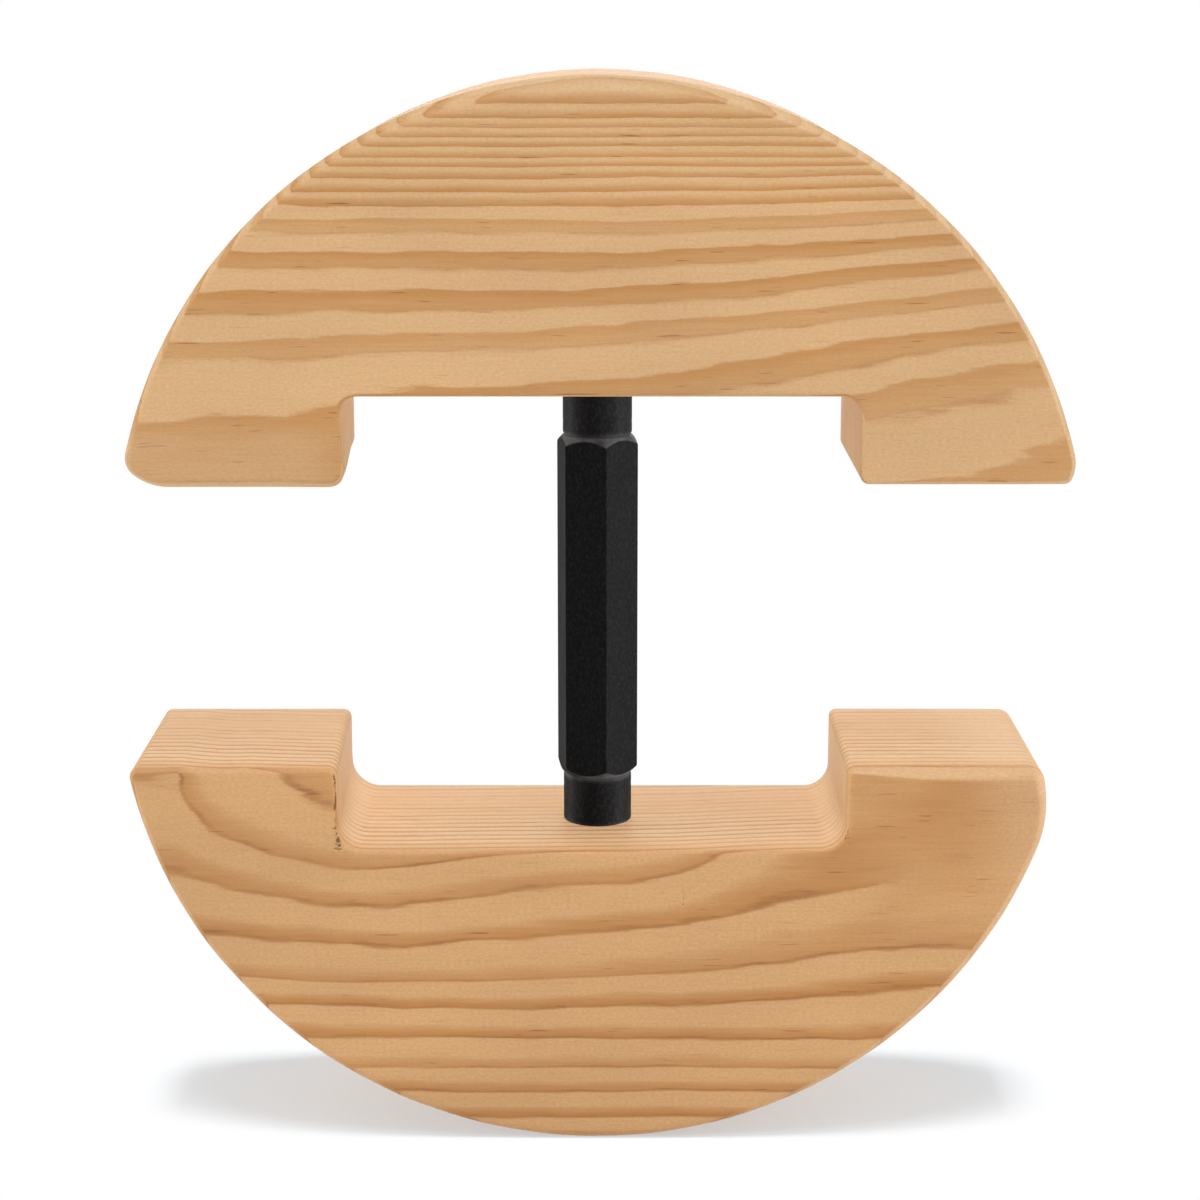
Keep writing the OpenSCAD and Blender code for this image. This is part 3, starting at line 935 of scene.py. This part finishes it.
def bare_metal(name, bright, dull, mark_cells):
    """Bare metal with fine marks that run the way that their cells are long, duller in patches."""
    material, tree, shader, place = new_material(name)
    marks = stretched_noise(tree, place, mark_cells, detail=3.0)
    cloud = stretched_noise(tree, place, METAL_CLOUD_CELLS, detail=3.0)
    colour = mix_colour(tree, ramp(tree, cloud, [(0.35, 0.0), (0.7, 1.0)]), bright, dull)
    colour = mix_colour(tree, 1.0, colour, ramp(tree, marks, [(0.2, 0.85), (0.8, 1.08)]), "MULTIPLY")
    bump = node(tree, "ShaderNodeBump", {"Strength": 0.15, "Distance": 0.0001, "Height": marks})
    tree.links.new(colour, shader.inputs["Base Color"])
    tree.links.new(math_node(tree, "MULTIPLY_ADD", cloud, 0.2, 0.25), shader.inputs["Roughness"])
    tree.links.new(bump.outputs[0], shader.inputs["Normal"])
    shader.inputs["Metallic"].default_value = 1.0
    return material


satin_black = black_steel("satin_black_steel")
zinc = bare_metal("zinc_plate", (0.40, 0.41, 0.42, 1), (0.28, 0.29, 0.30, 1), (1500, 1500, 5000))
turned_brass = bare_metal("turned_brass", (0.62, 0.42, 0.15, 1), (0.48, 0.30, 0.10, 1), (600, 600, 6000))
print("three metal finishes")

# %% [markdown]
# ## Hexagonal sleeve
# The sleeve is a length of hexagonal bar, turned at both ends so that its corners run out in a cone, and
# bored through. Its radius at each angle and height is the smaller of the hexagon's and the cone's. A smooth
# minimum rounds the corners a little, as a drawn bar's are.

# %% Make the sleeve
SLEEVE_LENGTH = 60.0
SLEEVE_FLAT = 6.35
SLEEVE_TURN = -18.0
SLEEVE_BORE = 4.05
SLEEVE_END = 5.9
BORE_CHAMFER = 0.5
SIDES = 6
SIDE_NORMALS = np.radians(SLEEVE_TURN + 360.0 / SIDES * (np.arange(SIDES) + 0.5))
SIDE_STEPS = 24
CORNER_POWER = 200
CONE_POWER = 90
# Rows lie close together over the cone and further apart along the bar.
CONE_REACH = 1.8
CONE_ROWS = 26
BAR_START = 2.3
BAR_ROWS = 16
RUBBED_AND_SHEEN_WIDTH = 0.08


def hexagon_radius(angle):
    """A hexagon's radius at an angle: its flat distance over a high-power mean of the cosines to its six
    normals."""
    cosine = np.clip(np.cos(angle[:, None] - SIDE_NORMALS), 0, 1)
    return SLEEVE_FLAT / (cosine**CORNER_POWER).sum(axis=1) ** (1 / CORNER_POWER)


def wrapped(radius, heights, angle):
    """Points round the Z axis from a grid of radii, one row for each height and one column for each angle."""
    rows = np.broadcast_to(heights[:, None], radius.shape)
    return np.stack([radius * np.cos(angle), radius * np.sin(angle), rows], axis=-1).reshape(-1, 3)


share = np.sin(np.pi / 2 * np.linspace(-1, 1, SIDE_STEPS, endpoint=False))
side_angle = np.radians(180.0 / SIDES) * share
angle = (SIDE_NORMALS[:, None] + side_angle).ravel()
half_length = SLEEVE_LENGTH / 2
over_cone = np.linspace(0, CONE_REACH, CONE_ROWS)
from_end = np.concatenate([over_cone, np.linspace(BAR_START, half_length, BAR_ROWS)])
height = np.concatenate([from_end - half_length, half_length - from_end[::-1][1:]])
hexagon = hexagon_radius(angle)[None, :]
cone = SLEEVE_END + (half_length - np.abs(height))[:, None]
outside = (hexagon**-CONE_POWER + cone**-CONE_POWER) ** (-1 / CONE_POWER)
bore_end = half_length - BORE_CHAMFER
bore_height = np.array([half_length, bore_end, 0.0, -bore_end, -half_length])
bore_radius = SLEEVE_BORE + BORE_CHAMFER * (np.abs(bore_height) == half_length)
bore = np.broadcast_to(bore_radius[:, None], (len(bore_radius), len(angle)))
rows = np.concatenate([height, bore_height])
# The cones get the grey: partly rubbed metal, partly a painted sheen.
edge = np.vstack([smooth_rise(hexagon - cone, -RUBBED_AND_SHEEN_WIDTH, RUBBED_AND_SHEEN_WIDTH), np.zeros(bore.shape)])
sleeve = make_piece("hexagonal_sleeve", wrapped(np.vstack([outside, bore]), rows, angle),
                    grid_quads(len(rows), len(angle), close_rows=True, close_columns=True),
                    satin_black, "sleeve", "hex_sleeve", {"edge": edge.ravel()})

# %% [markdown]
# ## Collars
# A short round collar sits at each end of the sleeve. It is a profile turned about the axis: a barrel with
# small rounded edges and a plain bore. The same profile serves for both, moved to the place of its CAD node.

# %% Make the collars
AROUND = 96
COLLAR_RADIUS = 5.95
COLLAR_BORE = 4.05
COLLAR_EDGE = 0.6
COLLAR_CHAMFER = 0.3
COLLAR_ROUND_STEPS = 8
BARREL_ROWS = 25
MARK_DEPTH = 0.03
MARK_WIDTH = 0.25
MARK_FROM_END = 2.2
RUBBED_REACH = 0.5
COLLAR_RUB = 0.4


def turned(profile):
    """A closed profile of (radius, height) carried once round the Z axis."""
    turn = np.linspace(0, 2 * np.pi, AROUND, endpoint=False)
    radius = np.broadcast_to(profile[:, :1], (len(profile), AROUND))
    quads = grid_quads(len(profile), AROUND, close_rows=True, close_columns=True)
    return wrapped(radius, profile[:, 1], turn), quads


def collar_profile(low, high):
    """Lower face, rounded edge, barrel with two shallow turning marks, rounded edge, upper face and bore."""
    quarter = np.linspace(0, np.pi / 2, COLLAR_ROUND_STEPS)
    barrel = np.linspace(low + COLLAR_EDGE, high - COLLAR_EDGE, BARREL_ROWS)[1:-1]
    marks = hump(barrel, low + MARK_FROM_END, MARK_WIDTH) + hump(barrel, high - MARK_FROM_END, MARK_WIDTH)
    outer = COLLAR_RADIUS - COLLAR_EDGE
    sine = COLLAR_EDGE * np.sin(quarter)
    cosine = COLLAR_EDGE * np.cos(quarter)
    lower_edge = np.stack([outer + sine, low + COLLAR_EDGE - cosine], axis=1)
    upper_edge = np.stack([outer + cosine, high - COLLAR_EDGE + sine], axis=1)
    side = np.stack([COLLAR_RADIUS - MARK_DEPTH * marks, barrel], axis=1)
    mouth = COLLAR_BORE + COLLAR_CHAMFER
    bore = [(mouth, high), (COLLAR_BORE, high - COLLAR_CHAMFER), (COLLAR_BORE, low + COLLAR_CHAMFER)]
    return np.vstack([[(mouth, low)], lower_edge, side, upper_edge, bore])


collars = []
for collar_node, body in (("upper_collar", "collar"), ("lower_collar", "lower")):
    low, high = (corner.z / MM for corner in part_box(collar_node))
    profile = collar_profile(low, high)
    points, quads = turned(profile)
    near_edge = np.maximum(hump(profile[:, 1], low, RUBBED_REACH), hump(profile[:, 1], high, RUBBED_REACH))
    near_edge = near_edge * (profile[:, 0] > COLLAR_BORE + 1)
    collars.append(make_piece(collar_node + "_ring", points, quads, satin_black, body, collar_node,
                              {"edge": np.repeat(COLLAR_RUB * near_edge, AROUND)}))

# %% [markdown]
# ## Strip lights for the steel
# Black steel shows its form only by what it mirrors. A photographer stands narrow lights beside it, and so
# does this cell: one on the right for the sleeve's flat, and one on each side for the round collars. Light
# linking keeps them off the wood.

# %% Light the steel
STRIP = dict(width=0.12, height=0.6)

strips = [soft_lamp("sleeve_strip", (0.6, -0.06, -0.12), watts=5.6, **STRIP),
          soft_lamp("left_collar_strip", (-0.5, 0.14, 0.0), watts=7.0, **STRIP),
          soft_lamp("right_collar_strip", (0.5, -0.06, -0.05), watts=8.0, **STRIP)]
for lamp, lit_pieces in zip(strips, ([sleeve], collars, collars)):
    lights_only(lamp, *lit_pieces)
print(len(strips), "strip lights")

# %% [markdown]
# ## Studs
# The studs show only when the tool is opened. A thread could be modelled with a Screw modifier; here it is
# one surface whose radius depends on height and angle: a ridge that climbs by one pitch for each turn, to the
# right on the lower stud and to the left on the upper one. Its crests and roots are cut flat.

# %% Make the studs
PITCH = 1.25
STUD_RADIUS = 3.98
THREAD_DEPTH = 0.66
THREAD_STEEPNESS = 1.25
STUD_CHAMFER = 1.0
STEPS_PER_PITCH = 10
STUD_AROUND = 40


def threaded_rod(low, high, hand):
    """Radius at height z and angle a: a clipped triangle wave of z / pitch less hand times a / one turn."""
    rows = np.linspace(low, high, int((high - low) / PITCH * STEPS_PER_PITCH))
    turn = np.linspace(0, 2 * np.pi, STUD_AROUND, endpoint=False)
    phase = (rows[:, None] / PITCH - hand * turn / (2 * np.pi)) % 1.0
    wave = 1 - np.abs(2 * phase - 1)
    ridge = np.clip(THREAD_STEEPNESS * wave - (THREAD_STEEPNESS - 1) / 2, 0, 1)
    radius = STUD_RADIUS - THREAD_DEPTH * (1 - ridge)
    to_end = np.minimum(rows - low, high - rows)[:, None]
    radius = np.minimum(radius, STUD_RADIUS - STUD_CHAMFER + to_end)
    tip = np.zeros((1, STUD_AROUND))
    heights = np.concatenate([[low], rows, [high]])
    points = wrapped(np.vstack([tip, radius, tip]), heights, turn)
    return points, grid_quads(len(heights), STUD_AROUND, close_columns=True)


for stud_node, body, hand in (("upper_stud", "upper", -1), ("lower_stud", "lower", 1)):
    low, high = (corner.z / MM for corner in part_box(stud_node))
    points, quads = threaded_rod(low, high, hand)
    make_piece(stud_node + "_thread", points, quads, zinc, body, stud_node)

# %% [markdown]
# ## Inserts
# A brass insert is sunk in each crossbar and holds the stud. Its CAD solid has the right shape, so it stays
# and only gets its finish.

# %% Finish the inserts
for insert_node in ("upper_insert", "lower_insert"):
    insert_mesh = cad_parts[insert_node].data
    insert_mesh.materials.clear()
    insert_mesh.materials.append(turned_brass)
print("brass on both inserts")

# %% [markdown]
# ## Size
# The box round the dressed model is printed. The dressed model has to keep to the CAD model's box.

# %% Print the dressed model's box
bpy.context.view_layer.update()
low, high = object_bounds()
print("visual box", [round(v, 4) for v in low], [round(v, 4) for v in high])
